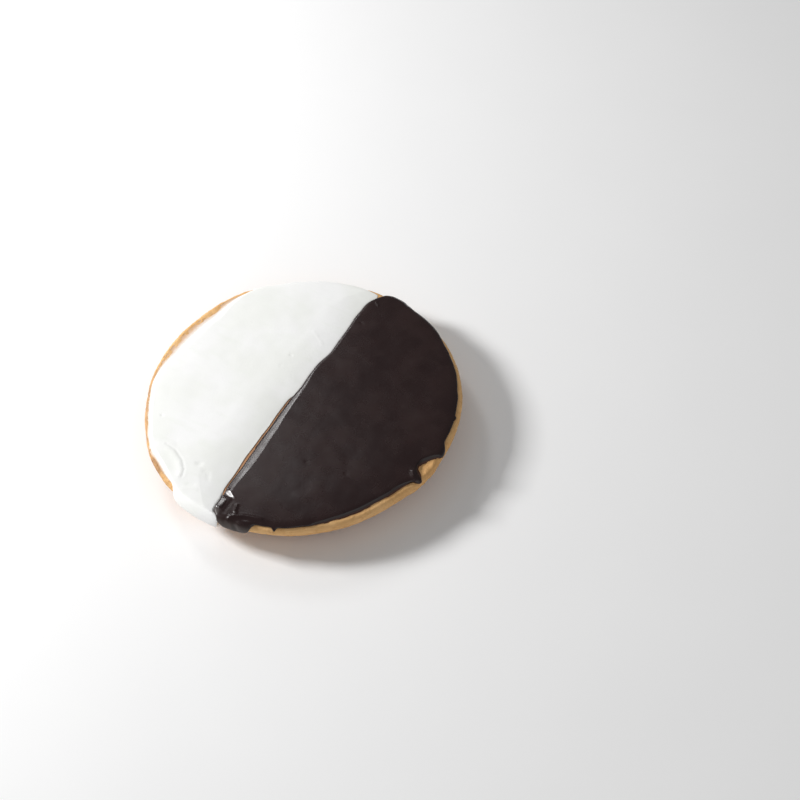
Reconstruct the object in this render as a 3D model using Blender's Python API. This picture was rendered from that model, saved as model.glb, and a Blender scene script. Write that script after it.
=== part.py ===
"""A black and white cookie, lying with its iced face up.

The cake is baked as a low dome and turned over, so its flat side takes the icing and the
browned dome is underneath. One half carries white icing and the other half chocolate icing.
Each icing is a thin sheet that lies flat on the cake, bends round its rim and in places runs
down the side. Everything is placed on the cake's skin, unrolled into a plane: a point there
is a distance along the skin from the middle of the top, and an angle around it.

Metres, +Z up. The origin is the middle of the flat spot that the dome rests on. The seam
between the icings runs along Y, with the white half at -X and the chocolate half at +X.
"""

import math

import bmesh
import bpy
import numpy as np

MM = 0.001

# The cake: its radius where it is widest, the waves that keep it from being a true circle
# (count round the cake, height, angle of a crest in degrees), and its section.
CAKE_RADIUS = 50.2 * MM
CAKE_WAVES = (
    (1, 0.1 * MM, 150),
    (2, 0.25 * MM, 76),
    (3, 0.33 * MM, 24),
)
CAKE_TOP = 11.0 * MM
TOP_EDGE_RADIUS = 1.4 * MM
SIDE_RADIUS = 4.0 * MM
SIDE_TURN = math.radians(65)
DOME_RADIUS = 65 * MM
CAKE_SEGMENTS = 72
TOP_EDGE_STEPS = 3
SIDE_STEPS = 4
DOME_STEPS = 5

# What stands out or falls short along a rim is a row: a name, how far it adds, and the
# angles where it starts, is full, stops being full and ends, in degrees.
CAKE_BUMPS = (
    ("crumbly edge", 0.7 * MM, (131, 138, 149, 162)),
    ("below the notch", 0.6 * MM, (339, 345, 351, 360)),
    ("under the top corner", 0.5 * MM, (76, 79, 83, 86)),
)

# The seam: the edge of the chocolate. It runs straight on the lower half, stands further
# back on the upper half, and both its ends bend towards the chocolate.
SEAM_X = -2.2 * MM
SEAM_SHIFT, SEAM_SHIFT_FROM, SEAM_SHIFT_TO = 1.6 * MM, 12 * MM, 20 * MM
SEAM_BULGE, SEAM_BULGE_Y, SEAM_BULGE_FALL = -0.9 * MM, 37 * MM, 4.5 * MM
TOP_BEND, TOP_BEND_Y, TOP_BEND_LENGTH = 1.05 * MM, 41.5 * MM, 4 * MM
FOOT_BEND, FOOT_BEND_Y, FOOT_BEND_LENGTH = 5 * MM, -44.5 * MM, 10 * MM
SEAM_GAP = 0.35 * MM
BARE_STRIP, BARE_STRIP_TOP, BARE_STRIP_FADE = 0.4 * MM, 0 * MM, 8 * MM
FOOT_GAP_Y, FOOT_GAP_SLOPE = -49 * MM, 0.2

# The icings. reach is how far an icing goes past the flat of the cake's top, and the rows
# of rim change it. drop is how much thicker it is where it has run down the side.
CHOCOLATE = {
    "side": 1,
    "thickness": 1.1 * MM,
    "edge": 0.45 * MM,
    "edge_width": 1.5 * MM,
    "lip": 0.25 * MM,
    "drop": 0.3 * MM,
    "reach": 0.2 * MM,
    "rim": (
        ("run down the side", 3.8 * MM, (269, 272.8, 280.8, 285)),
        ("lower front", 0.2 * MM, (282, 288, 294, 302)),
        ("short of the edge", -1.0 * MM, (304, 324, 343, 346)),
        ("blob below the notch", 1.3 * MM, (343.6, 345.1, 346.2, 348.2)),
        ("notch", -2.8 * MM, (347.8, 350.2, 351, 355.4)),
        ("point above the notch", 1.4 * MM, (355.6, 358.5, 360.6, 365)),
        ("right", -0.4 * MM, (2, 8, 27, 38)),
        ("over the edge", 0.8 * MM, (51, 58, 86, 100)),
        ("top corner", 0.8 * MM, (74.5, 77.5, 83, 86)),
    ),
}
WHITE = {
    "side": -1,
    "thickness": 0.85 * MM,
    "edge": 0.35 * MM,
    "edge_width": 1.8 * MM,
    "lip": 0,
    "drop": 0.8 * MM,
    "reach": 0.3 * MM,
    "rim": (
        ("short of the edge", -1.3 * MM, (132, 142, 178, 196)),
        ("shorter still", -1.1 * MM, (148, 165, 172, 186)),
        ("nibbled lower left", -0.9 * MM, (190, 194, 199, 208)),
        ("swelling", 0.4 * MM, (218, 223, 229, 233)),
        ("ragged lower left", -0.9 * MM, (230, 236, 247, 250)),
        ("lobe down the side", 3.9 * MM, (249, 256, 275, 280)),
    ),
}
LIP_REACH, LIP_FALL = 2 * MM, 1.5 * MM
DROP_START, DROP_LENGTH = 1 * MM, 3 * MM

# How an icing's sheet is meshed: its gap to the cake, the fine step and the softening of
# its outline, the longest edge and the largest turn left in it, and its rings. The rings
# run inwards, straight towards a line down the middle of the half, its spine.
ICING_GAP = 0.3 * MM
FINE_STEP = 0.3 * MM
SOFTENING = 10
LONGEST_EDGE = 4.2 * MM
LARGEST_TURN = math.radians(17)
SPINE_X = 24 * MM
SPINE_HALF_LENGTH = 10 * MM
EDGE_RINGS = (0, 0.14, 0.45, 1)
INNER_RINGS = 5
INNER_MARGIN = 1.2 * MM
REACH_ALLOWANCE = 1.2

SMOOTH_ANGLE = math.radians(40)
FINISHES = {
    "cake": ((0.445, 0.242, 0.102), 0.85),
    "white_icing": ((0.855, 0.855, 0.84), 0.45),
    "chocolate_icing": ((0.045, 0.030, 0.028), 0.35),
}


def fade(share):
    """1 at a share of 0, 0 at a share of 1, level at both ends."""
    t = min(max(share, 0), 1)
    return 1 - t * t * (3 - 2 * t)


def swell(away, hold, fall):
    """1 within hold of the middle, and gone at fall beyond that."""
    return fade((abs(away) - hold) / fall)


def bend(past, length, reach):
    """Nothing until past is positive, then a parabola that rises by reach over length."""
    return reach * (max(past, 0) / length) ** 2


def rows_at(rows, angle):
    """What the rows add up to at an angle in degrees."""
    total = 0
    for _, height, (start, full, last, end) in rows:
        middle = (start + end) / 2
        near = middle + (angle - middle + 180) % 360 - 180
        rise = 1 - fade((near - start) / (full - start))
        total += height * rise * fade((near - last) / (end - last))
    return total


def cake_radius(angle):
    """The cake's radius where it is widest, at an angle in degrees from +X."""
    radius = CAKE_RADIUS + rows_at(CAKE_BUMPS, angle)
    for count, height, crest in CAKE_WAVES:
        radius += height * math.cos(count * math.radians(angle - crest))
    return radius


def around(radius, angle, z):
    """A point at a radius and an angle round the cake's axis."""
    turn = math.radians(angle)
    return radius * math.cos(turn), radius * math.sin(turn), z


def skin(along, angle, height=0):
    """The point at a height above the cake's skin, along it from the middle of the top."""
    widest = cake_radius(angle)
    past = along - (widest - TOP_EDGE_RADIUS)
    past_edge = past - TOP_EDGE_RADIUS * math.pi / 2
    if past <= 0:
        tilt, radius, z = 0, along, CAKE_TOP
    elif past_edge <= 0:
        tilt = past / TOP_EDGE_RADIUS
        radius = widest - TOP_EDGE_RADIUS * (1 - math.sin(tilt))
        z = CAKE_TOP - TOP_EDGE_RADIUS * (1 - math.cos(tilt))
    else:
        tilt = math.pi / 2 + past_edge / SIDE_RADIUS
        radius = widest - SIDE_RADIUS * (1 - math.sin(tilt))
        z = CAKE_TOP - TOP_EDGE_RADIUS + SIDE_RADIUS * math.cos(tilt)
    return around(radius + height * math.sin(tilt), angle, z + height * math.cos(tilt))


def seam_x(y):
    """Where the chocolate's edge runs along the seam, on the unrolled skin."""
    x = SEAM_X
    x += SEAM_SHIFT * (1 - fade((y - SEAM_SHIFT_FROM) / (SEAM_SHIFT_TO - SEAM_SHIFT_FROM)))
    x += SEAM_BULGE * swell(y - SEAM_BULGE_Y, 0, SEAM_BULGE_FALL)
    x += bend(y - TOP_BEND_Y, TOP_BEND_LENGTH, TOP_BEND)
    x += bend(FOOT_BEND_Y - y, FOOT_BEND_LENGTH, FOOT_BEND)
    return x


def seam_gap(y):
    """How far the white icing stays from the chocolate: cake shows on the lower half."""
    bare = BARE_STRIP * fade((y - BARE_STRIP_TOP) / BARE_STRIP_FADE)
    return SEAM_GAP + bare + FOOT_GAP_SLOPE * max(0, FOOT_GAP_Y - y)


def past_flat(along, angle):
    """How far a point along the skin is past the flat of the cake's top."""
    return along - cake_radius(angle) + TOP_EDGE_RADIUS


def rim_along(icing, angle):
    """How far along the skin an icing reaches, at an angle in degrees."""
    flat = cake_radius(angle) - TOP_EDGE_RADIUS
    return flat + icing["reach"] + rows_at(icing["rim"], angle)


def edge_x(icing, y):
    """The icing's own edge along the seam."""
    return seam_x(y) if icing["side"] > 0 else seam_x(y) - seam_gap(y)


def laid(point, height=0):
    """A point of the unrolled skin, laid on the cake."""
    x, y = point
    return skin(math.hypot(x, y), math.degrees(math.atan2(y, x)), height)


def resampled(outline, step, turn):
    """The closed outline with a point for each step of length and each turn of direction,
    both measured where it lies on the cake."""
    on_cake = np.array([laid(point) for point in outline])
    edges = np.roll(on_cake, -1, axis=0) - on_cake
    lengths = np.linalg.norm(edges, axis=1)
    headings = edges / lengths[:, None]
    agreement = np.sum(headings * np.roll(headings, 1, axis=0), axis=1)
    turned = np.arccos(np.clip(agreement, -1, 1))
    cost = lengths / step + (turned + np.roll(turned, -1)) / (2 * turn)
    reached = np.concatenate([[0], np.cumsum(cost)])
    closed = np.vstack([outline, outline[:1]])
    wanted = np.linspace(0, reached[-1], math.ceil(reached[-1]), endpoint=False)
    return np.column_stack([np.interp(wanted, reached, closed[:, axis]) for axis in (0, 1)])


def icing_outline(icing):
    """The icing's outline on the unrolled skin, anticlockwise: its rim, then its seam."""
    side = icing["side"]
    rim = []
    for angle in np.arange(-100, 100, 0.25):
        if side < 0:
            angle += 180
        x, y, _ = around(rim_along(icing, angle), angle, 0)
        if side * (x - edge_x(icing, y)) > 0:
            rim.append((x, y))
    start_y, end_y = rim[-1][1], rim[0][1]
    count = round(abs(end_y - start_y) / FINE_STEP)
    seam = [(edge_x(icing, y), y) for y in np.linspace(start_y, end_y, count)[1:-1]]
    outline = resampled(np.array(rim + seam), FINE_STEP, math.inf)
    for _ in range(SOFTENING):
        outline = (np.roll(outline, 1, axis=0) + 2 * outline + np.roll(outline, -1, axis=0)) / 4
    return resampled(outline, LONGEST_EDGE, LARGEST_TURN)


def icing_point(icing, point, inwards, top):
    """A point of the sheet, inwards of the outline at point: 0 on it, 1 past its rounding,
    2 past all that bends with the cake."""
    x, y = point
    pull = np.array([icing["side"] * SPINE_X - x, max(-SPINE_HALF_LENGTH, min(y, SPINE_HALF_LENGTH)) - y])
    angle = math.degrees(math.atan2(y, x))
    over_edge = max(past_flat(math.hypot(x, y), angle), 0)
    inner = INNER_MARGIN + REACH_ALLOWANCE * over_edge
    depth = icing["edge_width"] * min(inwards, 1) + inner * max(inwards - 1, 0)
    px, py = point + depth * pull / np.linalg.norm(pull)
    if not top:
        return laid((px, py), ICING_GAP)
    rounding = math.sqrt(1 - (1 - min(inwards, 1)) ** 2)
    lip = icing["lip"] * swell(inwards - 1, 0, 1) * swell(px - seam_x(py), LIP_REACH, LIP_FALL)
    down = past_flat(math.hypot(px, py), math.degrees(math.atan2(py, px)))
    drop = icing["drop"] * (1 - fade((down - DROP_START) / DROP_LENGTH))
    height = icing["edge"] + (icing["thickness"] - icing["edge"]) * rounding + lip + drop
    return laid((px, py), ICING_GAP + height)


def icing_rings(icing):
    """The sheet's rings: from the middle of its underside, round its edge, to its top."""
    outline = icing_outline(icing)
    inner = [1 + step / INNER_RINGS for step in range(INNER_RINGS, 0, -1)]
    under = [(inwards, False) for inwards in inner + [1, 0.5, 0]]
    over = [(inwards, True) for inwards in [*EDGE_RINGS, *reversed(inner)]]
    return [[icing_point(icing, point, *place) for point in outline] for place in under + over]


def cake_rings():
    """The cake's rings, from its foot up the dome and the side to the flat of its top."""
    flat_slope = math.pi / 2 - SIDE_TURN
    side_z = CAKE_TOP - TOP_EDGE_RADIUS - SIDE_RADIUS * math.sin(SIDE_TURN)
    side_drop = SIDE_RADIUS * (1 - math.cos(SIDE_TURN))
    foot_slope = math.acos(math.cos(flat_slope) + side_z / DOME_RADIUS)
    foot_radius = CAKE_RADIUS - side_drop - DOME_RADIUS * (math.sin(flat_slope) - math.sin(foot_slope))
    angles = [360 * i / CAKE_SEGMENTS for i in range(CAKE_SEGMENTS)]

    rings = []
    for step in range(DOME_STEPS):
        slope = foot_slope + (flat_slope - foot_slope) * step / DOME_STEPS
        z = DOME_RADIUS * (math.cos(foot_slope) - math.cos(slope))
        grown = math.sin(slope) - math.sin(foot_slope)
        share = grown / (math.sin(flat_slope) - math.sin(foot_slope))
        rings.append([
            around(foot_radius + share * (cake_radius(angle) - side_drop - foot_radius), angle, z)
            for angle in angles
        ])
    quarter = TOP_EDGE_RADIUS * math.pi / 2
    down_side = [SIDE_TURN * SIDE_RADIUS * step / SIDE_STEPS for step in range(SIDE_STEPS, 0, -1)]
    down = [quarter + side for side in down_side]
    down += [quarter * step / TOP_EDGE_STEPS for step in range(TOP_EDGE_STEPS, -1, -1)]
    for past in down:
        rings.append([skin(cake_radius(angle) - TOP_EDGE_RADIUS + past, angle) for angle in angles])
    return rings


def finish(name):
    """The plain material of a sub-part."""
    colour, roughness = FINISHES[name]
    material = bpy.data.materials.new(name)
    material.use_nodes = True
    shader = material.node_tree.nodes["Principled BSDF"]
    shader.inputs["Base Color"].default_value = (*colour, 1)
    shader.inputs["Roughness"].default_value = roughness
    shader.inputs["Metallic"].default_value = 0
    return material


def solid(name, rings):
    """A closed solid through the rings, with the first and the last one filled."""
    bm = bmesh.new()
    loops = [[bm.verts.new(point) for point in ring] for ring in rings]
    bm.faces.new(reversed(loops[0]))
    for lower, upper in zip(loops, loops[1:]):
        for i in range(len(lower)):
            j = (i + 1) % len(lower)
            bm.faces.new((lower[i], lower[j], upper[j], upper[i]))
    bm.faces.new(loops[-1])
    bmesh.ops.recalc_face_normals(bm, faces=bm.faces)
    mesh = bpy.data.meshes.new(name)
    bm.to_mesh(mesh)
    bm.free()
    mesh.shade_smooth()
    mesh.set_sharp_from_angle(angle=SMOOTH_ANGLE)
    mesh.materials.append(finish(name))
    piece = bpy.data.objects.new(name, mesh)
    bpy.context.scene.collection.objects.link(piece)
    return piece


def main():
    for leftover in list(bpy.data.objects):
        bpy.data.objects.remove(leftover, do_unlink=True)
    solid("cake", cake_rings())
    solid("white_icing", icing_rings(WHITE))
    solid("chocolate_icing", icing_rings(CHOCOLATE))


main()
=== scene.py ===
# %% [markdown]
# # A black and white cookie
# The cookie is a soft cake, baked as a low dome and turned over, so that its flat side takes the
# icing. One half is iced white and the other half with chocolate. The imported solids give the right
# sizes, but they are smooth and plain. This script models the cake and both icings again in the same
# places, with their crumb, folds, pits and lips, and gives them their finishes and their light.

# %% Load the frame
import math

import bpy
import numpy as np
from mathutils import Matrix, Vector, noise


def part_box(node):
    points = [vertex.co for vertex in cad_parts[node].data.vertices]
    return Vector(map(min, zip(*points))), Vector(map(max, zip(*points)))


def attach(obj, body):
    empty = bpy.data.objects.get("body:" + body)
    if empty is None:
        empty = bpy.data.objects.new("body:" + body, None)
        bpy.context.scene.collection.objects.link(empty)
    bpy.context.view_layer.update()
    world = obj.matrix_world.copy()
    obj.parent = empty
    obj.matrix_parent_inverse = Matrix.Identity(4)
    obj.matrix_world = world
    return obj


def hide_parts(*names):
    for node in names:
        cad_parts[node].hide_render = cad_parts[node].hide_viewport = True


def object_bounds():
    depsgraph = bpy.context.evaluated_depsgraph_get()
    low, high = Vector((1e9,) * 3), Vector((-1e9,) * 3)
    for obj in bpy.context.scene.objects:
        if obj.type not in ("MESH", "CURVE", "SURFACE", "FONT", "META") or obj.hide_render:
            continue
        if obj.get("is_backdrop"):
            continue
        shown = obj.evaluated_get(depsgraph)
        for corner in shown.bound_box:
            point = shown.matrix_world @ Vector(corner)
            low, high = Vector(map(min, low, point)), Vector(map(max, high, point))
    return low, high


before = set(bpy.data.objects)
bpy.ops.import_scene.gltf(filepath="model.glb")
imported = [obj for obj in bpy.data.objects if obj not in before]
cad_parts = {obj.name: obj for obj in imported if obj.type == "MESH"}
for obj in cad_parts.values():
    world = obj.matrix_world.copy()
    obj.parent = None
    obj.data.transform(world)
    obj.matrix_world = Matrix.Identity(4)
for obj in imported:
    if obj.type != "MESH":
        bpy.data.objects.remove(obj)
cad_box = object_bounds()
MM = 0.001
cake_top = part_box("cake")[1].z / MM
print("nodes:", sorted(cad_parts))
print("the cake's top is at", round(cake_top, 2), "mm")

# %% [markdown]
# ## The cake's form
# A free-hand cake isn't a true circle. Its radius could be drawn by eye, but a few waves and bumps
# round it are easier to change. A bump is a row: how far it stands out, in millimetres, and the
# angles where it starts, is full, stops being full and ends. All lengths are millimetres here, and
# only the finished vertices are turned into metres.

# %% Waves and bumps round the rim
CAKE_RADIUS = 50.2
CAKE_WAVES = ((1, 0.1, 150), (2, 0.25, 76), (3, 0.33, 24))
CAKE_BUMPS = (
    ("crumbly edge", 0.7, (131, 138, 149, 162)),
    ("below the notch", 0.6, (339, 345, 351, 360)),
    ("under the top corner", 0.5, (76, 79, 83, 86)),
    ("right", 0.2, (5, 20, 60, 75)),
    ("left", -0.3, (110, 130, 215, 235)),
    ("lower left", -0.35, (196, 206, 222, 232)),
    ("lower right", 0.35, (285, 300, 318, 332)),
)


def fade(share):
    """1 at a share of 0, 0 at a share of 1, level at both ends."""
    t = np.clip(share, 0, 1)
    return 1 - t * t * (3 - 2 * t)


def swell(away, hold, fall):
    """1 within hold of the middle, and gone at fall beyond that."""
    return fade((np.abs(away) - hold) / fall)


def rows_at(rows, angle):
    """What the rows add up to at the angles, in degrees."""
    total = np.zeros_like(angle, dtype=float)
    for _, height, (start, full, last, end) in rows:
        middle = (start + end) / 2
        near = middle + (angle - middle + 180) % 360 - 180
        rise = 1 - fade((near - start) / (full - start))
        total += height * rise * fade((near - last) / (end - last))
    return total


def cake_radius(angle):
    """The cake's radius where it is widest."""
    radius = CAKE_RADIUS + rows_at(CAKE_BUMPS, angle)
    for count, height, crest in CAKE_WAVES:
        radius = radius + height * np.cos(count * np.radians(angle - crest))
    return radius


rim_radii = cake_radius(np.arange(360.0))
print("radius from", round(float(rim_radii.min()), 1), "to", round(float(rim_radii.max()), 1), "mm")

# %% [markdown]
# ## The cake's skin
# The flat top turns over a small rounded edge into a bulging side. Icing follows that skin, so it is
# handy to measure along the skin from the middle of the top, as if the skin were unrolled on paper.
# One function then lays any point of the paper on the cake, at any height above it.

# %% From the unrolled skin to the cake
TOP_EDGE_RADIUS = 1.4
SIDE_RADIUS = 4.0


def skin(along, angle, height):
    """The points at these heights above the skin, this far along it, at these angles."""
    widest = cake_radius(angle)
    past = along - (widest - TOP_EDGE_RADIUS)
    past_edge = past - TOP_EDGE_RADIUS * math.pi / 2
    on_edge = past > 0
    on_side = past_edge > 0
    bend = np.where(on_edge, TOP_EDGE_RADIUS, 0)
    bend = bend + np.where(on_side, SIDE_RADIUS - TOP_EDGE_RADIUS, 0)
    tilt = np.where(on_edge, past / TOP_EDGE_RADIUS, 0)
    tilt = np.where(on_side, math.pi / 2 + past_edge / SIDE_RADIUS, tilt)
    radius = np.where(on_edge, widest - bend * (1 - np.sin(tilt)), along)
    edge_z = cake_top - TOP_EDGE_RADIUS * (1 - np.cos(tilt))
    side_z = cake_top - TOP_EDGE_RADIUS + SIDE_RADIUS * np.cos(tilt)
    z = np.where(on_side, side_z, edge_z)
    radius = radius + height * np.sin(tilt)
    z = z + height * np.cos(tilt)
    turn = np.radians(angle)
    return np.stack([radius * np.cos(turn), radius * np.sin(turn), z], axis=-1)


def laid(points, height):
    """Points of the unrolled skin, laid on the cake."""
    x, y = points[..., 0], points[..., 1]
    return skin(np.hypot(x, y), np.degrees(np.arctan2(y, x)), height)


def past_flat(points):
    """How far points of the unrolled skin are past the flat of the cake's top."""
    x, y = points[..., 0], points[..., 1]
    return np.hypot(x, y) - cake_radius(np.degrees(np.arctan2(y, x))) + TOP_EDGE_RADIUS


print("the cake is widest", TOP_EDGE_RADIUS, "mm below its top")

# %% [markdown]
# ## A way to model all three pieces
# Cake and icing are both closed skins with many rings, wide and thin. Each starts as a cylinder with
# as many sides as the ring has points. Its top is extruded upwards once for every further ring, which
# gives a tall, plain tower. The tower only holds the mesh together: each vertex knows its ring by its
# height and its station by its direction, so it can then be moved to its own place.

# %% Raise a tower and move its rings into place
def tower(name, stations, rings):
    """A closed cylinder with this many rings, a step of 1 apart, selected by its top face."""
    bpy.ops.object.select_all(action="DESELECT")
    bpy.ops.mesh.primitive_cylinder_add(vertices=stations, radius=10, depth=1, location=(0, 0, 0.5))
    piece = bpy.context.object
    piece.name = name
    piece.data.name = name
    bpy.ops.object.transform_apply(location=True)
    bpy.ops.object.mode_set(mode="EDIT")
    bpy.ops.mesh.select_mode(type="FACE")
    bpy.ops.mesh.select_all(action="DESELECT")
    bpy.ops.object.mode_set(mode="OBJECT")
    for face in piece.data.polygons:
        face.select = face.normal.z > 0.5
    bpy.ops.object.mode_set(mode="EDIT")
    for _ in range(rings - 2):
        bpy.ops.mesh.extrude_region_move(TRANSFORM_OT_translate={"value": (0, 0, 1)})
    bpy.ops.object.mode_set(mode="OBJECT")
    return piece


def coordinates(piece, kind="co"):
    """The piece's vertices or their normals as an array."""
    values = np.empty(len(piece.data.vertices) * 3)
    piece.data.vertices.foreach_get(kind, values)
    return values.reshape(-1, 3)


def ring_and_station(piece, stations):
    """The number of the ring and of the station that each vertex of a tower is on."""
    x, y, z = coordinates(piece).T
    station = np.rint(np.arctan2(y, x) * stations / (2 * math.pi)).astype(int) % stations
    return np.rint(z).astype(int), station


def move_to(piece, points):
    """Puts the vertices at the points, in millimetres."""
    piece.data.vertices.foreach_set("co", (points * MM).ravel())
    piece.data.update()


def push(piece, distances):
    """Moves each vertex along its normal, by millimetres."""
    move_to(piece, coordinates(piece) / MM + coordinates(piece, "normal") * distances[:, None])


def finish_mesh(piece):
    """Turns faces outwards, cuts up the two end faces, smooths the shading, counts the vertices."""
    bpy.ops.object.mode_set(mode="EDIT")
    bpy.ops.mesh.select_all(action="SELECT")
    bpy.ops.mesh.normals_make_consistent(inside=False)
    bpy.ops.mesh.select_all(action="DESELECT")
    bpy.ops.mesh.select_face_by_sides(number=4, type="GREATER")
    bpy.ops.mesh.quads_convert_to_tris(quad_method="BEAUTY", ngon_method="BEAUTY")
    bpy.ops.mesh.beautify_fill(angle_limit=math.pi)
    bpy.ops.object.mode_set(mode="OBJECT")
    bpy.ops.object.shade_smooth()
    print(piece.name, len(piece.data.vertices), "vertices")


def grain(points, size, seed):
    """Smooth noise between -1 and 1 at the points, with lumps of this size."""
    scaled = points / size
    return np.array([noise.noise((x, y, z + 17.3 * seed)) for x, y, z in scaled])


# %% [markdown]
# ## The cake
# The real one is a dense sponge: a tan side with a fine, porous crumb, and a browner dome that has
# faced the heat. Rings of stations give even, small faces all the way round, where a sculpted ball
# would bunch them. The rings lie closest at the side and at the bare rim, which show the most crumb,
# and a few are enough for the flat that the icing covers.

# %% Rings of the cake
SIDE_TURN = math.radians(65)
DOME_RADIUS = 65
CAKE_STATIONS = 960
DOME_RINGS, SIDE_RINGS, EDGE_RINGS, STRIP_RINGS = 26, 24, 10, 16
STRIP_WIDTH = 6.0
COVERED_RINGS = [-12, -24, -34]

angles = np.arange(CAKE_STATIONS) * 360 / CAKE_STATIONS
turns = np.radians(angles)
widest = cake_radius(angles)
flat_slope = math.pi / 2 - SIDE_TURN
side_z = cake_top - TOP_EDGE_RADIUS - SIDE_RADIUS * math.sin(SIDE_TURN)
side_drop = SIDE_RADIUS * (1 - math.cos(SIDE_TURN))
foot_slope = math.acos(math.cos(flat_slope) + side_z / DOME_RADIUS)
foot_radius = CAKE_RADIUS - side_drop - DOME_RADIUS * (math.sin(flat_slope) - math.sin(foot_slope))

cake_rings = []
for slope in np.linspace(foot_slope, flat_slope, DOME_RINGS, endpoint=False):
    reached = math.sin(slope) - math.sin(foot_slope)
    share = reached / (math.sin(flat_slope) - math.sin(foot_slope))
    radius = foot_radius + share * (widest - side_drop - foot_radius)
    z = np.full_like(angles, DOME_RADIUS * (math.cos(foot_slope) - math.cos(slope)))
    cake_rings.append(np.stack([radius * np.cos(turns), radius * np.sin(turns), z], axis=-1))
quarter = TOP_EDGE_RADIUS * math.pi / 2
downs = list(quarter + SIDE_TURN * SIDE_RADIUS * np.linspace(1, 0, SIDE_RINGS, endpoint=False))
downs += list(quarter * np.linspace(1, 0, EDGE_RINGS, endpoint=False))
downs += list(-STRIP_WIDTH * np.linspace(0, 1, STRIP_RINGS)) + COVERED_RINGS
for down in downs:
    cake_rings.append(skin(widest - TOP_EDGE_RADIUS + down, angles, 0))

cake = tower("baked_cake", CAKE_STATIONS, len(cake_rings))
cake_table = np.array(cake_rings)
move_to(cake, cake_table[ring_and_station(cake, CAKE_STATIONS)])
finish_mesh(cake)

# %% [markdown]
# The crumb is relief, so it also shows in the outline. Lumps the size of a fingertip come first, then
# grains under a millimetre, then pores: noise that is cut off, so only its deepest parts make holes.
# The rim is roughest where the edge has crumbled, and the foot stays flat for the cookie to rest on.
# The lower left has browned more, and so has the cake that shows in the seam. The left side, which
# faces the key light, is darkened a little too: painted shade. Their amounts are kept at the vertices,
# for the finish to read.

# %% Press the crumb into the cake
BROKEN_ABOVE, FOOT_HEIGHT = 8, 3
COVERED_RADIUS, RIM_RADIUS = 40, 45
SEAM_BROWN = 2
points = coordinates(cake) / MM
cake_angle = np.degrees(np.arctan2(points[:, 1], points[:, 0]))
out = np.hypot(points[:, 0], points[:, 1])
BROKEN_PLACES = (
    ("crumbly edge", 1.0, (126, 136, 178, 200)),
    ("nibbled lower left", 0.8, (226, 234, 246, 252)),
    ("in the notch", 1.0, (346, 349, 354, 358)),
    ("top corner", 0.6, (84, 88, 93, 98)),
)
broken = rows_at(BROKEN_PLACES, cake_angle) * fade((BROKEN_ABOVE - points[:, 2]) / 2)
raised = fade((FOOT_HEIGHT - points[:, 2]) / FOOT_HEIGHT)
lumps = 0.12 * grain(points, 7, 1) + 0.08 * grain(points, 2.6, 2)
crumb = 0.06 * grain(points, 0.9, 3) + (0.05 + 0.12 * broken) * grain(points, 1.5, 4)
pores = np.maximum(grain(points, 1.1, 5) - 0.32, 0) * (0.5 + 0.9 * broken)
under_icing = fade((out - COVERED_RADIUS) / 4)
push(cake, (lumps + crumb - pores + 0.05) * raised * (1 - under_icing))
# The left row is painted shade that darkens the side facing the key light; the lower left row is real
# browning.
BROWNER_AND_SHADED_PLACES = (
    ("left", 0.25, (120, 150, 178, 200)),
    ("lower left", 0.8, (178, 200, 238, 254)),
)
browner_and_shaded = rows_at(BROWNER_AND_SHADED_PLACES, cake_angle) * (0.8 + 0.5 * grain(points, 3, 6))
browner_and_shaded = np.where(out < RIM_RADIUS, SEAM_BROWN, browner_and_shaded)
cake.data.attributes.new("browner_and_shaded", "FLOAT", "POINT").data.foreach_set("value", browner_and_shaded)
print("crumb pressed in, deepest pore", round(float(pores.max()), 2), "mm")

# %% [markdown]
# ## The seam and the rims
# The chocolate was spread second, so its edge makes the seam. It runs straight on the lower half,
# stands further back on the upper half, and bends away at both ends. Each icing's outline is its seam
# and its rim, drawn on the unrolled skin. The rim is a set of rows again, with a little noise, since
# poured icing never stops along a clean curve. Each icing also says how thick it is, how wide its
# rounded edge is, how far its edges lie below its crown, how much tighter the edge turns over at the
# upper seam, and which line down its middle its faces run to.

# %% Where the icings end
SEAM_X = -2.4
CHOCOLATE = {
    "side": 1, "seed": 11, "wobble": 0.16, "reach": 0.2, "thickness": 1.1, "edge": 0.2,
    "edge_width": 2.2, "crown": (0.2, 0.45), "middle": ((-27, 26), (15, 15)), "tight": 0.5,
    "rim": (
        ("run down the side", 3.5, (269, 272.8, 280.8, 285)),
        ("lower front", 0.2, (282, 288, 294, 302)),
        ("thin drip", 1.1, (290.7, 291.3, 291.7, 292.3)),
        ("short of the edge", -0.6, (304, 324, 343, 346)),
        ("blob below the notch", 1.3, (343.6, 345.1, 346.2, 348.2)),
        ("notch", -2.8, (347.8, 350.2, 351, 357)),
        ("point above the notch", 1.5, (356.4, 358.9, 360, 365)),
        ("right", -0.2, (2, 8, 27, 38)),
        ("small drip", 0.6, (15.4, 16, 16.3, 16.9)),
        ("over the edge", 1.0, (51, 62, 86, 100)),
        ("top corner", 1.9, (73, 77.2, 84, 87)),
    ),
}
WHITE = {
    "side": -1, "seed": 23, "wobble": 0.22, "reach": 0.3, "thickness": 0.85, "edge": 0.25,
    "edge_width": 1.8, "crown": (0.1, 0.35), "middle": ((-37, -10, 31), (-14, -23, -20)), "tight": 0,
    "rim": (
        ("short of the edge", -0.3, (132, 158, 178, 196)),
        ("shorter still", -0.3, (152, 165, 172, 186)),
        ("nibbled lower left", -0.1, (190, 194, 199, 208)),
        ("swelling", 0.8, (220, 226, 232, 237)),
        ("ragged lower left", 0.1, (230, 236, 247, 250)),
        ("nearer the edge", 0.35, (192, 206, 218, 228)),
        ("lobe down the side", 5.2, (249, 257, 275, 280)),
        ("end of the lobe", 1.3, (256, 264, 272, 278)),
        ("short of the top corner", -0.45, (84, 87, 92, 98)),
    ),
}


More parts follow.
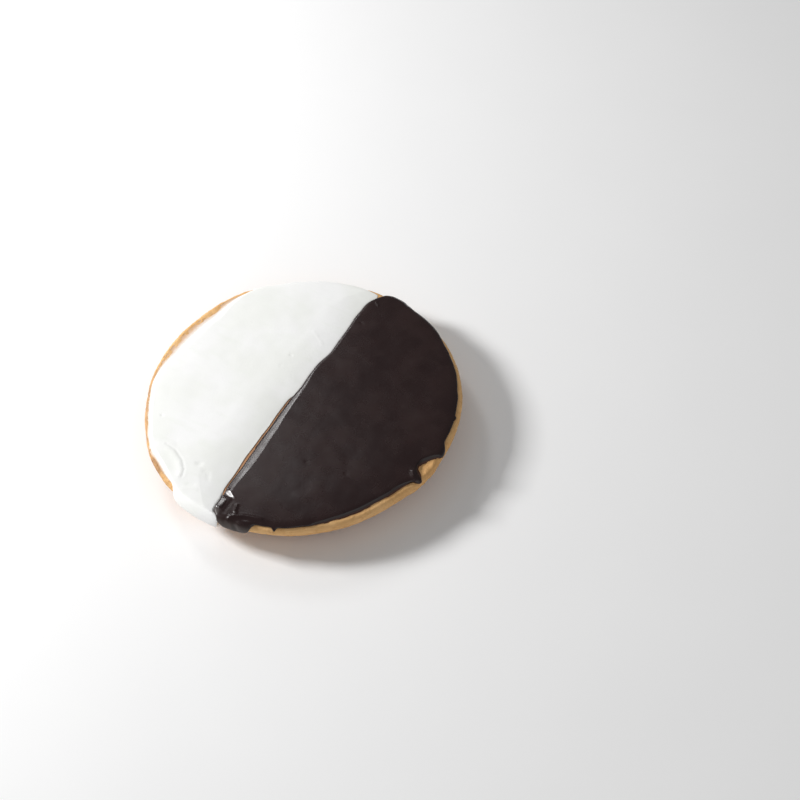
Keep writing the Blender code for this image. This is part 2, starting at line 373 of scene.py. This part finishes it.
def seam_x(y):
    """Where the chocolate's edge runs along the seam, on the unrolled skin."""
    x = SEAM_X + 0.5 * (1 - fade((y + 5) / 9))
    x = x + 1.3 * (1 - fade((y - 12) / 8)) - 0.35 * swell(y - 37, 0, 4.5)
    x = x + 1.05 * (np.maximum(y - 41.5, 0) / 4) ** 2
    x = x + 0.6 * (1 - fade((-42 - y) / 3)) + 5.0 * (1 - fade((-48.9 - y) / 2.4))
    return x + 0.1 * np.sin(y / 1.9) * np.sin(y / 5.3 + 1)


def bare_strip(y):
    """How much cake shows along the seam. On the upper half the white runs in under the chocolate."""
    return -1.0 + 1.7 * fade((y + 4) / 8) - 0.4 * fade((y + 37) / 8)


WHITE_FOOT_DOWN, WHITE_FOOT_X = (41, 49.5, 51.5, 54), (SEAM_X - 0.3, 0.6, 1.4, 0.5)
WHITE_TOP_X = 1.2


def edge_x(icing, y):
    """The icing's own edge along the seam. The white goes under the chocolate at both ends."""
    if icing["side"] > 0:
        return seam_x(y)
    edge = np.minimum(seam_x(y) - bare_strip(y), WHITE_TOP_X)
    return np.where(-y < WHITE_FOOT_DOWN[0], edge, np.interp(-y, WHITE_FOOT_DOWN, WHITE_FOOT_X))


def rim_point(icing, angle):
    """Where the icing's rim is on the unrolled skin."""
    turn = np.radians(angle)
    around = np.stack([np.cos(turn), np.sin(turn), np.zeros_like(turn)], axis=-1)
    wobble = grain(50 * around, 4, icing["seed"]) + 0.5 * grain(50 * around, 1.4, icing["seed"] + 1)
    along = cake_radius(angle) - TOP_EDGE_RADIUS + icing["reach"] + rows_at(icing["rim"], angle)
    return (along + icing["wobble"] * wobble)[:, None] * around[:, :2]


print("the seam is at x", seam_x(np.array([-40.0, 0.0, 40.0])).round(1), "mm")

# %% [markdown]
# An outline has to be even before it can carry rings, so it is resampled to equal steps. A few rounds
# of averaging soften its corners, as a thick icing's own pull does.

# %% Draw the outlines
STEP = 0.3
SOFTENING = 5


def resampled(outline, step):
    """The closed outline with a point for each step of its length."""
    closed = np.vstack([outline, outline[:1]])
    reached = np.concatenate([[0], np.cumsum(np.linalg.norm(np.diff(closed, axis=0), axis=1))])
    wanted = np.linspace(0, reached[-1], round(reached[-1] / step), endpoint=False)
    return np.column_stack([np.interp(wanted, reached, closed[:, axis]) for axis in (0, 1)])


def softened(outline, rounds):
    """The closed outline, averaged with its neighbours this many times."""
    for _ in range(rounds):
        outline = (np.roll(outline, 1, axis=0) + 2 * outline + np.roll(outline, -1, axis=0)) / 4
    return outline


def icing_outline(icing):
    """The icing's outline on the unrolled skin, anticlockwise: its rim, then its seam."""
    rim = rim_point(icing, np.arange(-100, 100, 0.1) + (180 if icing["side"] < 0 else 0))
    rim = rim[icing["side"] * (rim[:, 0] - edge_x(icing, rim[:, 1])) > 0]
    seam_start, seam_end = rim[-1, 1], rim[0, 1]
    steps = np.arange(abs(seam_start - seam_end), 0, -STEP)[1:-1]
    seam_y = steps * np.sign(seam_start - seam_end) + seam_end
    outline = resampled(np.vstack([rim, np.column_stack([edge_x(icing, seam_y), seam_y])]), STEP)
    return resampled(softened(outline, SOFTENING), STEP)


print("points in the outlines:", len(icing_outline(WHITE)), "and", len(icing_outline(CHOCOLATE)))

# %% [markdown]
# ## Marks in the icing
# Icing sets with the marks of the knife in it: ridges, creases, pits and scratches. Each is a height
# that is added to the sheet near a line or a point, given where it lies on the top. A line of a few
# points is enough, because the sheet is fine enough to carry the shape of the mark.

# %% Ridges, creases and pits
def near_line(points, line, width):
    """1 on the line through the given points, and falling off within its width."""
    nearest = np.full(len(points), np.inf)
    for start, end in zip(np.array(line[:-1], float), np.array(line[1:], float)):
        span = end - start
        share = np.clip((points - start) @ span / (span @ span), 0, 1)
        nearest = np.minimum(nearest, np.linalg.norm(points - start - share[:, None] * span, axis=1))
    return np.exp(-((nearest / width) ** 2))


def marks_at(marks, points):
    """The sum of all marks at points of the unrolled skin."""
    total = np.zeros(len(points))
    for _, height, width, line in marks:
        total += height * near_line(points, line, width)
    return total


WHITE_MARKS = (
    ("fold", 0.13, 1.3, [
        (-29.5, -36.2), (-27, -35.8), (-24, -36.6), (-20.2, -38.8), (-17.6, -41.4), (-17, -43),
    ]),
    ("crease beside the fold", -0.09, 0.5, [
        (-27.3, -35), (-23.6, -35.7), (-19.5, -38), (-16.9, -40.8), (-16.2, -43.2),
    ]),
    ("arch", -0.025, 0.7, [(-30, -35.6), (-28, -33.6), (-25.5, -32.4), (-24, -34)]),
    ("smear", 0.06, 0.8, [(-13.4, -46.6), (-11.5, -45.8), (-9.8, -45.4)]),
    ("dent beside the smear", -0.05, 0.7, [(-13, -44.8), (-11.5, -44.2)]),
    ("pit", -0.12, 0.9, [(-14.2, -37), (-13.7, -36.9)]),
    ("squiggle", -0.05, 0.7, [(-11, -38.6), (-9.8, -38.4), (-9.2, -39.4), (-8.6, -40.4)]),
    ("pinhole on the left", -0.12, 0.35, [(-35, -26.4), (-34.8, -26.3)]),
    ("pinhole in the middle", -0.1, 0.4, [(-11.4, 12.7), (-11.0, 12.6)]),
    ("faint pinhole", -0.05, 0.35, [(-11.9, 7.4), (-11.7, 7.4)]),
    ("scratch", 0.03, 0.4, [(-9.8, 24.8), (-7, 23), (-4.5, 21.2)]),
)
CHOCOLATE_MARKS = (
    ("valley beside the lip", -0.12, 0.7, [(2.2, -43.9), (2.1, -48.4)]),
    ("ridge at the run", 0.3, 0.45, [(4.5, -44.8), (4.9, -46.6), (5.6, -47.4)]),
    ("edge of the run", 0.26, 0.5, [(4.6, -49.0), (6.0, -48.1), (8.2, -47.0), (13.5, -45.6)]),
    ("furrow below that edge", -0.14, 0.5, [(5.2, -50.0), (8.6, -48.2), (13.5, -46.8)]),
    ("dent in the run", -0.45, 0.9, [(7.0, -50.6), (7.4, -51.0)]),
    ("furrow beside the dent", -0.2, 0.6, [(3.6, -50.4), (5.4, -51.2)]),
    ("pit near the seam", -0.05, 0.5, [(2.4, 34.6), (3, 34.3)]),
    ("nick at the top corner", 0.12, 0.35, [(2.4, 44.9), (3.6, 44)]),
    ("hole at the notch", -0.5, 0.5, [(46.6, -7.6), (47.2, -8.6)]),
    ("crumb in the notch", 0.35, 0.4, [(45.8, -8.1), (46.1, -8.5)]),
    ("ridge below the notch", 0.3, 0.6, [(45.4, -10.6), (46.6, -12.4)]),
    ("pit", -0.08, 0.5, [(27.8, -20.4), (28.1, -20.4)]),
    ("pit in the middle", -0.08, 0.6, [(14.8, -21.8), (15.2, -22.2)]),
)
print(len(WHITE_MARKS), "marks in the white,", len(CHOCOLATE_MARKS), "in the chocolate")

# %% [markdown]
# ## The sheets of icing
# A sheet has an underside that lies on the cake, a rounded edge and a top. Its rings start at the
# outline and run inwards to a bent line down the middle of the half. Close rings at the edge make it
# round, and even rings further in carry the marks. The sheet sinks a little into the cake, because
# icing soaks into the crumb and leaves no gap to look into. Where it feathers out, the sheet keeps
# how thin it is at its vertices, for the finish to read.

# %% Lay a sheet on the cake
EDGE_STEPS = (0, 0.02, 0.07, 0.15, 0.26, 0.4, 0.58, 0.8, 1)
LAST_EDGE = len(EDGE_STEPS) - 1
INNER_RINGS = 58
LAST_SHARE = 0.97
ROUNDS_PER_RING = 3
MIDDLE_ROUNDS = 60
CAD_GAP = 0.3
SUNK = 0.2
CROWN_WIDTH = 15
LEAST_FEATHER = 0.3


def edge_rings(outline, steps):
    """Rings that follow the outline inwards by these steps.

    Each is averaged more than the one before, which keeps them from crossing.
    """
    rings = [outline]
    for number, step in enumerate(steps):
        ring = rings[-1]
        along = np.roll(ring, -2, axis=0) - np.roll(ring, 2, axis=0)
        inwards = np.column_stack([-along[:, 1], along[:, 0]])
        ring = ring + step * inwards / np.linalg.norm(along, axis=1)[:, None]
        rings.append(softened(ring, ROUNDS_PER_RING * (number + 1)))
    return np.array(rings)


def middle_line(edge, icing):
    """For each point of a ring, the point of the middle line that it heads for."""
    middle_y, middle_x = icing["middle"]
    y = np.clip(softened(edge, MIDDLE_ROUNDS)[:, 1], middle_y[0], middle_y[-1])
    return np.column_stack([np.interp(y, middle_y, middle_x), y])


def hollow(icing, flat, angle):
    """How far the sheet lies below its crown, which it reaches well inside its edges."""
    from_seam = np.abs(flat[:, 0] - seam_x(flat[:, 1]))
    from_rim = cake_radius(angle) - np.hypot(flat[:, 0], flat[:, 1])
    at_seam, at_rim = icing["crown"]
    seam_share = 1 - np.clip(from_seam / CROWN_WIDTH, 0, 1)
    rim_share = 1 - np.clip(from_rim / CROWN_WIDTH, 0, 1)
    return at_seam * seam_share**2 + at_rim * rim_share**2


def sheet(name, icing, marks, lift, thin_width):
    """The icing as a closed sheet, with its thinness at each vertex.

    A place is a ring of the edge, the share of the way on to the middle, and whether it is on top.
    """
    outline = icing_outline(icing)
    upper_seam = (1 - fade((outline[:, 1] - 3) / 6)) * fade((np.abs(outline[:, 0]) - 4) / 4)
    width = icing["edge_width"] * (1 - icing["tight"] * upper_seam)
    edges = edge_rings(outline, np.diff(EDGE_STEPS)[:, None, None] * width[:, None])
    middle = middle_line(edges[-1], icing)
    shares = LAST_SHARE * np.linspace(0, 1, INNER_RINGS + 1)[1:] ** 1.2
    places = [(LAST_EDGE, share, False) for share in (LAST_SHARE, 0.7, 0.4, 0.2, 0.1)]
    places += [(row, 0, False) for row in (LAST_EDGE, 5, 2, 0)]
    places += [(row, 0, True) for row in range(LAST_EDGE + 1)]
    places += [(LAST_EDGE, share, True) for share in shares]
    piece = tower(name, len(outline), len(places))
    ring, station = ring_and_station(piece, len(outline))
    rings = [edges[row] + share * (middle - edges[row]) for row, share, _ in places]
    flat = np.array(rings)[ring, station]
    step = np.array([EDGE_STEPS[row] for row, _, _ in places])[ring]
    share = np.array([share for _, share, _ in places])[ring]
    top = np.array([is_top for _, _, is_top in places])[ring]

    angle = np.degrees(np.arctan2(flat[:, 1], flat[:, 0]))
    from_edge = width[station] * step + share * np.linalg.norm(middle - edges[-1], axis=1)[station]
    soft = np.maximum(thin_width(angle, flat), 0.01)
    thin = fade(from_edge / soft) * (soft > LEAST_FEATHER)
    rounding = np.sqrt(1 - (1 - step) ** 2)
    height = CAD_GAP + icing["edge"] + (icing["thickness"] - icing["edge"]) * rounding
    height = height * (1 - 0.8 * thin) - rounding * hollow(icing, flat, angle)
    height = lift(flat, height)
    level = np.column_stack([flat, np.zeros(len(flat))])
    waves = 0.09 * grain(level, 14, icing["seed"] + 2) + 0.035 * grain(level, 4, icing["seed"] + 3)
    height += rounding * (waves + marks_at(marks, flat))
    height = np.where(top, height, -SUNK)
    move_to(piece, laid(flat, height))
    finish_mesh(piece)
    piece.data.attributes.new("thin", "FLOAT", "POINT").data.foreach_set("value", thin)
    return piece


# %% [markdown]
# The white icing is thinner. It was wiped thin towards the seam before the chocolate came, and at the
# left it feathers out over the crumb until the cake tints it.
# At the front a lobe has run over the edge and hangs down the side, thicker than the rest.

# %% The white icing
WHITE_FEATHER = (
    ("left", 5.4, (136, 160, 180, 203)),
    ("lower left", 1.8, (196, 206, 240, 252)),
)
WIPED_WIDTH = 13


def white_lift(flat, height):
    """Wiped thin towards the seam, thicker down the side, and flat under the chocolate."""
    from_seam = edge_x(WHITE, flat[:, 1]) - flat[:, 0]
    wiped = 0.2 + 0.95 * (1 - (1 - np.clip(from_seam / WIPED_WIDTH, 0, 1)) ** 2)
    wiped = wiped + 2 * (1 - fade(past_flat(flat) / 2))
    covered = 1 - fade((flat[:, 0] - seam_x(flat[:, 1]) + 0.1) / 0.7)
    height = np.minimum(height, wiped) + 0.9 * (1 - fade((past_flat(flat) - 1) / 3))
    return height * (1 - covered) - 0.1 * covered


def white_thin(angle, flat):
    """How wide the feathered edge is. Along the seam there is none."""
    return rows_at(WHITE_FEATHER, angle) * fade((flat[:, 0] + 16) / 6)


white = sheet("white_icing_coat", WHITE, WHITE_MARKS, white_lift, white_thin)

# %% [markdown]
# The chocolate is thicker and stiffer. Its edge stands up along the seam as a lip with a slanted
# shoulder, and the foot of that lip has torn into a small facet. It has torn open at the right too,
# and at the front it has run down the side beside the white lobe.

# %% The chocolate icing
CHOCOLATE_FEATHER = (
    ("lower right", 0.9, (300, 312, 338, 345)),
    ("in the notch", 1.5, (346, 349, 356, 360)),
    ("front corner", 0.5, (262, 266, 270, 272)),
)
SHOULDER_DOWN = (0, 12, 20, 28, 36, 46)
SHOULDER_WIDTHS = (0.6, 1.5, 1.9, 2.3, 1.7, 1.3)
TORN_START, TORN_AWAY = (-0.3, -41.0), (-0.559, -0.829)


def chocolate_lift(flat, height):
    """A slanted shoulder along the lower seam, a torn facet at its end, and a thicker run."""
    x, y = flat.T
    shoulder_width = np.interp(-y, SHOULDER_DOWN, SHOULDER_WIDTHS)
    shoulder = 0.185 * shoulder_width * (1 - np.clip((x - seam_x(y) - 1.2) / shoulder_width, 0, 1))
    above_facet = fade((-40.6 - y) / 0.7)
    below_facet = fade((-47.4 - y) / 1) - fade((-43.4 - y) / 0.5)
    shoulder = shoulder * fade((y + 1) / 3) * (above_facet + 0.75 * below_facet)
    beyond_ridge = (flat - TORN_START) @ TORN_AWAY
    torn = 0.62 * np.clip(beyond_ridge, 0, 1.35) * fade((-42.9 - y) / 0.5) * fade((y + 40.9) / 0.6)
    rise = 0.08 * np.clip(-43.8 - y, 0, 3.6) * fade((-47.4 - y) / 0.6) * fade((x - 0.3) / 0.7)
    return height - torn - shoulder + rise + 0.3 * (1 - fade((past_flat(flat) - 1) / 3))


def chocolate_thin(angle, flat):
    """How wide the thinned edge is."""
    return rows_at(CHOCOLATE_FEATHER, angle)


chocolate = sheet("chocolate_icing_coat", CHOCOLATE, CHOCOLATE_MARKS, chocolate_lift, chocolate_thin)

# %% [markdown]
# The run has dried duller than the top, and so has the small corner where the seam meets it. There it
# is also painted a paler grey, which on the run is partly painted sheen: the table's reflection. A
# second material would end in a hard line, so the amount is kept at the vertices and the finish fades
# to it.

# %% Where the chocolate is dull
DULL_AND_SHEEN_RUN = (("run", 1.0, (262, 267, 284, 287)),)
DULL_BELOW = 11.8
DULL_CORNER = (-0.6, -49.2)

x, y, z = coordinates(chocolate).T / MM
# The mask of dull, rougher chocolate, whose paler colour on the run is partly painted sheen.
dull_and_sheen = rows_at(DULL_AND_SHEEN_RUN, np.degrees(np.arctan2(y, x))) * (1 - fade((DULL_BELOW - z) / 1.5))
from_corner = np.hypot(x - DULL_CORNER[0], y - DULL_CORNER[1])
dull_and_sheen = np.maximum(dull_and_sheen, fade((from_corner - 0.8) / 1))
chocolate.data.attributes.new("dull_and_sheen", "FLOAT", "POINT").data.foreach_set("value", dull_and_sheen)
print("dull vertices:", int((dull_and_sheen > 0.5).sum()))

# %% [markdown]
# ## Writing materials as sums
# A material is a graph of nodes, but most of it is arithmetic. A small class holds one socket and
# turns + - * on it into Math nodes, so a formula reads as a formula. Every other node comes from
# one method that takes its type, its settings and what goes into it.

# %% Sockets that can be added and multiplied
class Value:
    """One output socket of a node tree."""

    def __init__(self, maker, socket):
        self.maker = maker
        self.socket = socket

    def combined(self, operation, first, second):
        """A Math node on two values, at least one of them a socket."""
        return self.maker.add("ShaderNodeMath", {0: first, 1: second}, operation=operation)

    def __add__(self, other):
        return self.combined("ADD", self, other)

    def __sub__(self, other):
        return self.combined("SUBTRACT", self, other)

    def __rsub__(self, other):
        return self.combined("SUBTRACT", other, self)

    def __mul__(self, other):
        return self.combined("MULTIPLY", self, other)

    __radd__ = __add__
    __rmul__ = __mul__


class Finish:
    """A material that is being made."""

    def __init__(self, name):
        self.material = bpy.data.materials.new(name)
        self.material.use_nodes = True
        self.tree = self.material.node_tree
        self.shader = self.tree.nodes["Principled BSDF"]
        self.place = self.add("ShaderNodeTexCoord", {}, output="Object")

    def add(self, kind, inputs, output=0, **settings):
        """A node of this type, with its settings, its sockets and the output that is wanted."""
        node = self.tree.nodes.new(kind)
        for name, value in settings.items():
            setattr(node, name, value)
        for name, value in inputs.items():
            self.feed(node.inputs[name], value)
        return Value(self, node.outputs[output])

    def feed(self, socket, value):
        """Links a value to a socket, or sets it there."""
        if isinstance(value, Value):
            self.tree.links.new(value.socket, socket)
        else:
            socket.default_value = value

    def set(self, **inputs):
        """Sets or links sockets of the shader, such as Base_Color."""
        for name, value in inputs.items():
            self.feed(self.shader.inputs[name.replace("_", " ")], value)

    def noise(self, size, detail=2, place=None):
        """Noise from 0 to 1, with lumps of this size in millimetres."""
        inputs = {"Vector": place or self.place, "Scale": 1 / (size * MM), "Detail": detail}
        return self.add("ShaderNodeTexNoise", inputs)

    def between(self, value, low, high):
        """0 up to low, 1 from high, and smooth between."""
        inputs = {"Value": value, "From Min": low, "From Max": high}
        return self.add("ShaderNodeMapRange", inputs, interpolation_type="SMOOTHSTEP")

    def mix(self, share, first, second):
        """A colour between two colours."""
        return self.add("ShaderNodeMix", {0: share, 6: first, 7: second}, output=2, data_type="RGBA")

    def bump(self, height, distance):
        """A normal from a height, whose full range is this many millimetres."""
        return self.add("ShaderNodeBump", {"Height": height, "Distance": distance * MM})

    def attribute(self, name):
        """A number that the piece keeps at its vertices."""
        return self.add("ShaderNodeAttribute", {}, output="Fac", attribute_name=name)


def colour(red, green, blue):
    """A colour as a screen shows it, from 0 to 255, in the shader's own linear numbers."""
    shares = [value / 255 for value in (red, green, blue)]
    return [s / 12.92 if s <= 0.04045 else ((s + 0.055) / 1.055) ** 2.4 for s in shares] + [1]


def wear(piece, finish):
    """Gives the piece this finish alone."""
    piece.data.materials.clear()
    piece.data.materials.append(finish.material)
    print(piece.name, "wears", finish.material.name)


# %% [markdown]
# ## Baked cake
# The side is tan, with paler crumb where it has broken open, and the dome is browner because it faced
# the heat. Height above the table tells them apart, so one mask on Z is enough. The browner lower
# left, the painted shade on the left side that faces the key light, and the cake in the seam come from
# the amount at the vertices. Blotches of two sizes keep the tan from looking painted, and a fine bump
# gives the crumb that is too small to model.

# %% The cake's finish
baked = Finish("baked_cake")
height_up = baked.add("ShaderNodeSeparateXYZ", {"Vector": baked.place}, output="Z")
blotch = baked.noise(9, 3)
speckle = baked.noise(1.6, 3)
fine = baked.noise(0.5, 2)
browned_and_shaded = baked.attribute("browner_and_shaded")
dome = 1 - baked.between(height_up + 4 * MM * blotch, 4.5 * MM, 9.5 * MM)
tan = baked.mix(baked.between(blotch, 0.3, 0.7), colour(216, 168, 110), colour(228, 184, 128))
tan = baked.mix(baked.between(speckle, 0.52, 0.75) * 0.55, tan, colour(200, 148, 94))
tan = baked.mix(baked.between(fine, 0.6, 0.8) * 0.35, tan, colour(236, 206, 164))
# Real browning, and painted shade on the left side that faces the key light.
tan = baked.mix(baked.between(browned_and_shaded, 0.1, 1.0) * 0.9, tan, colour(158, 120, 88))
tan = baked.mix(baked.between(browned_and_shaded, 1.2, SEAM_BROWN), tan, colour(184, 138, 102))
brown = baked.mix(baked.between(blotch, 0.3, 0.7), colour(150, 92, 48), colour(186, 126, 72))
baked.set(
    Base_Color=baked.mix(dome, tan, brown),
    Roughness=0.72 + 0.2 * speckle,
    Normal=baked.bump(0.6 * fine + 0.4 * speckle, 0.25),
)
baked.shader.inputs["Specular IOR Level"].default_value = 0.25
wear(cake, baked)

# %% [markdown]
# ## White icing
# Set sugar icing is smooth, with a low sheen. It isn't one white: faint streaks in it are a little
# greener, and cake shows through at the feathered edge. That edge follows the outline, so its tint
# comes from the thinness that the sheet keeps at its vertices. It goes in two steps, first pale and
# then tan, because only the last thread of icing lets the cake's own colour through.

# %% The white icing's finish
sugar = Finish("white_sugar_icing")
cloud = sugar.noise(16, 2)
drawn_out = {"Vector": sugar.place, "Rotation": (0, 0, 0.9), "Scale": (1, 4, 1)}
streak_place = sugar.add("ShaderNodeMapping", drawn_out)
streak = sugar.noise(9, 3, streak_place)
dust = sugar.noise(0.8, 2)
thinness = sugar.attribute("thin")
milk = sugar.mix(sugar.between(cloud, 0.35, 0.65), colour(240, 241, 237), colour(245, 245, 244))
milk = sugar.mix(sugar.between(streak, 0.5, 0.75) * 0.3, milk, colour(236, 239, 232))
soaked = sugar.between(thinness + 0.35 * (cloud - 0.5) + 0.25 * (dust - 0.5), 0.25, 1.0)
milk = sugar.mix(sugar.between(soaked, 0.0, 0.8), milk, colour(218, 205, 194))
milk = sugar.mix(sugar.between(soaked, 0.75, 1.1), milk, colour(206, 164, 122))
sugar.set(
    Base_Color=milk,
    Roughness=0.42 + 0.2 * streak,
    Normal=sugar.bump(0.5 * streak + 0.5 * dust, 0.03),
)
sugar.shader.inputs["Specular IOR Level"].default_value = 0.4
wear(white, sugar)

# %% [markdown]
# ## Chocolate icing
# Nearly black, with a soft broken sheen: the surface has dried unevenly, so its gloss changes from
# patch to patch more than its colour does. Where it is thin it turns a warm red-brown. Where it dried
# dull it is rougher and painted a paler grey, which on the run is partly painted sheen, the table's
# reflection.

# %% The chocolate icing's finish
cocoa = Finish("chocolate_icing")
patch = cocoa.noise(11, 4)
mottle = cocoa.noise(4, 2)
pinprick = cocoa.noise(0.7, 2)
thin_cocoa = cocoa.attribute("thin")
dull_and_sheen_cocoa = cocoa.attribute("dull_and_sheen")
dark = cocoa.mix(cocoa.between(patch, 0.35, 0.7), colour(31, 15, 15), colour(38, 21, 20))
dark = cocoa.mix(cocoa.between(mottle, 0.55, 0.8) * 0.4, dark, colour(44, 29, 27))
dark = cocoa.mix(cocoa.between(thin_cocoa, 0.3, 1.0) * 0.6, dark, colour(96, 50, 32))
# Paler grey on the dull run and corner: rougher dried icing, and on the run partly a painted
# reflection of the table.
dark = cocoa.mix(dull_and_sheen_cocoa, dark, colour(58, 47, 44))
cocoa.set(
    Base_Color=dark,
    Roughness=0.12 + 0.2 * patch + 0.1 * mottle + 0.25 * dull_and_sheen_cocoa + 0.4 * thin_cocoa,
    Normal=cocoa.bump(0.9 * mottle + 0.1 * pinprick, 0.04),
)
cocoa.shader.inputs["Specular IOR Level"].default_value = 0.45
wear(chocolate, cocoa)

# %% [markdown]
# ## Joining the pieces to the frame
# The new pieces stand for the plain solids, so those are hidden and the pieces ride on the same body.

# %% Replace the solids
for piece, node in ((cake, "cake"), (white, "white_icing"), (chocolate, "chocolate_icing")):
    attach(piece, "root")
    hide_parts(node)

# %% [markdown]
# ## Table, light and camera
# A white table and four lights. A low key light from the left draws the folds and throws the shadow to
# the right, and a wide, soft fill stands on the camera's side. Two small ones behind the cookie give
# the chocolate its sheen and the streak on its lip. A dim, even sky keeps the shadow open.

# %% The table
bpy.ops.object.select_all(action="DESELECT")
bpy.ops.mesh.primitive_plane_add(size=6)
table = bpy.context.object
table.name = "table"
paper = Finish("white_table")
sheet_white = paper.mix(paper.noise(40), colour(248, 248, 248), colour(251, 251, 251))
paper.set(Base_Color=sheet_white, Roughness=0.9)
paper.shader.inputs["Specular IOR Level"].default_value = 0.1
wear(table, paper)
table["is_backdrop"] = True

# %% Lights
def softbox(name, azimuth, elevation, distance, size, watts):
    """A square light that faces the cookie, in metres. Azimuth 0 is on the right, at +X."""
    turn, rise = math.radians(azimuth), math.radians(elevation)
    away = Vector((math.cos(turn) * math.cos(rise), math.sin(turn) * math.cos(rise), math.sin(rise)))
    bpy.ops.object.light_add(type="AREA", location=away * distance)
    light = bpy.context.object
    light.name = name
    light.data.size = size
    light.data.energy = watts
    light.rotation_euler = away.to_track_quat("Z", "Y").to_euler()
    print(name, "light:", watts, "W at", distance, "m")


softbox("key", 193, 30.5, 0.65, 0.139, 4.8)
softbox("fill", -28, 38, 1.2, 1.1, 2.9)
softbox("sheen", 137, 54, 0.8, 0.12, 0.1)
softbox("streak", 146, 34, 0.8, 0.14, 0.95)
world = bpy.data.worlds.new("sky")
world.use_nodes = True
world.node_tree.nodes["Background"].inputs["Color"].default_value = (1, 1, 1, 1)
world.node_tree.nodes["Background"].inputs["Strength"].default_value = 0.2
bpy.context.scene.world = world
bpy.context.scene.view_settings.view_transform = "Standard"

# %% [markdown]
# The camera was found by fitting the round outline of the iced face: it looks down from the front
# right, and is rolled a little, as a hand-held camera is.

# %% Camera
AZIMUTH, ELEVATION, DISTANCE = 37.198, 50.777, 0.450
PAN, TILT, ROLL = -3.9012, -0.7025, -8.3788
SENSOR_WIDTH, FOCAL_LENGTH = 36, 64.188
turn, rise = math.radians(AZIMUTH), math.radians(ELEVATION)
back = Vector((math.sin(turn) * math.cos(rise), -math.cos(turn) * math.cos(rise), math.sin(rise)))
bpy.ops.object.camera_add()
camera = bpy.context.object
camera.name = "camera"
camera.data.sensor_width = SENSOR_WIDTH
camera.data.lens = FOCAL_LENGTH
camera.matrix_world = (
    Matrix.Translation(Vector((0, 0, cake_top * MM)) + back * DISTANCE)
    @ back.to_track_quat("Z", "Y").to_matrix().to_4x4()
    @ Matrix.Rotation(math.radians(PAN), 4, "Y")
    @ Matrix.Rotation(math.radians(TILT), 4, "X")
    @ Matrix.Rotation(math.radians(ROLL), 4, "Z")
)
bpy.context.scene.camera = camera
print("camera:", DISTANCE, "m from the cake's top, lens of", FOCAL_LENGTH, "mm")

# %% [markdown]
# ## Measure
# The dressed cookie should fill the same box as the solids, apart from its relief. Both boxes are
# kept and printed, so that a piece that has grown or moved shows at once.

# %% Measure
new_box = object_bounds()
boxes = {"cad": [list(corner) for corner in cad_box], "visual": [list(corner) for corner in new_box]}
for name, (low, high) in boxes.items():
    print(name, [round((b - a) / MM, 2) for a, b in zip(low, high)], "mm")
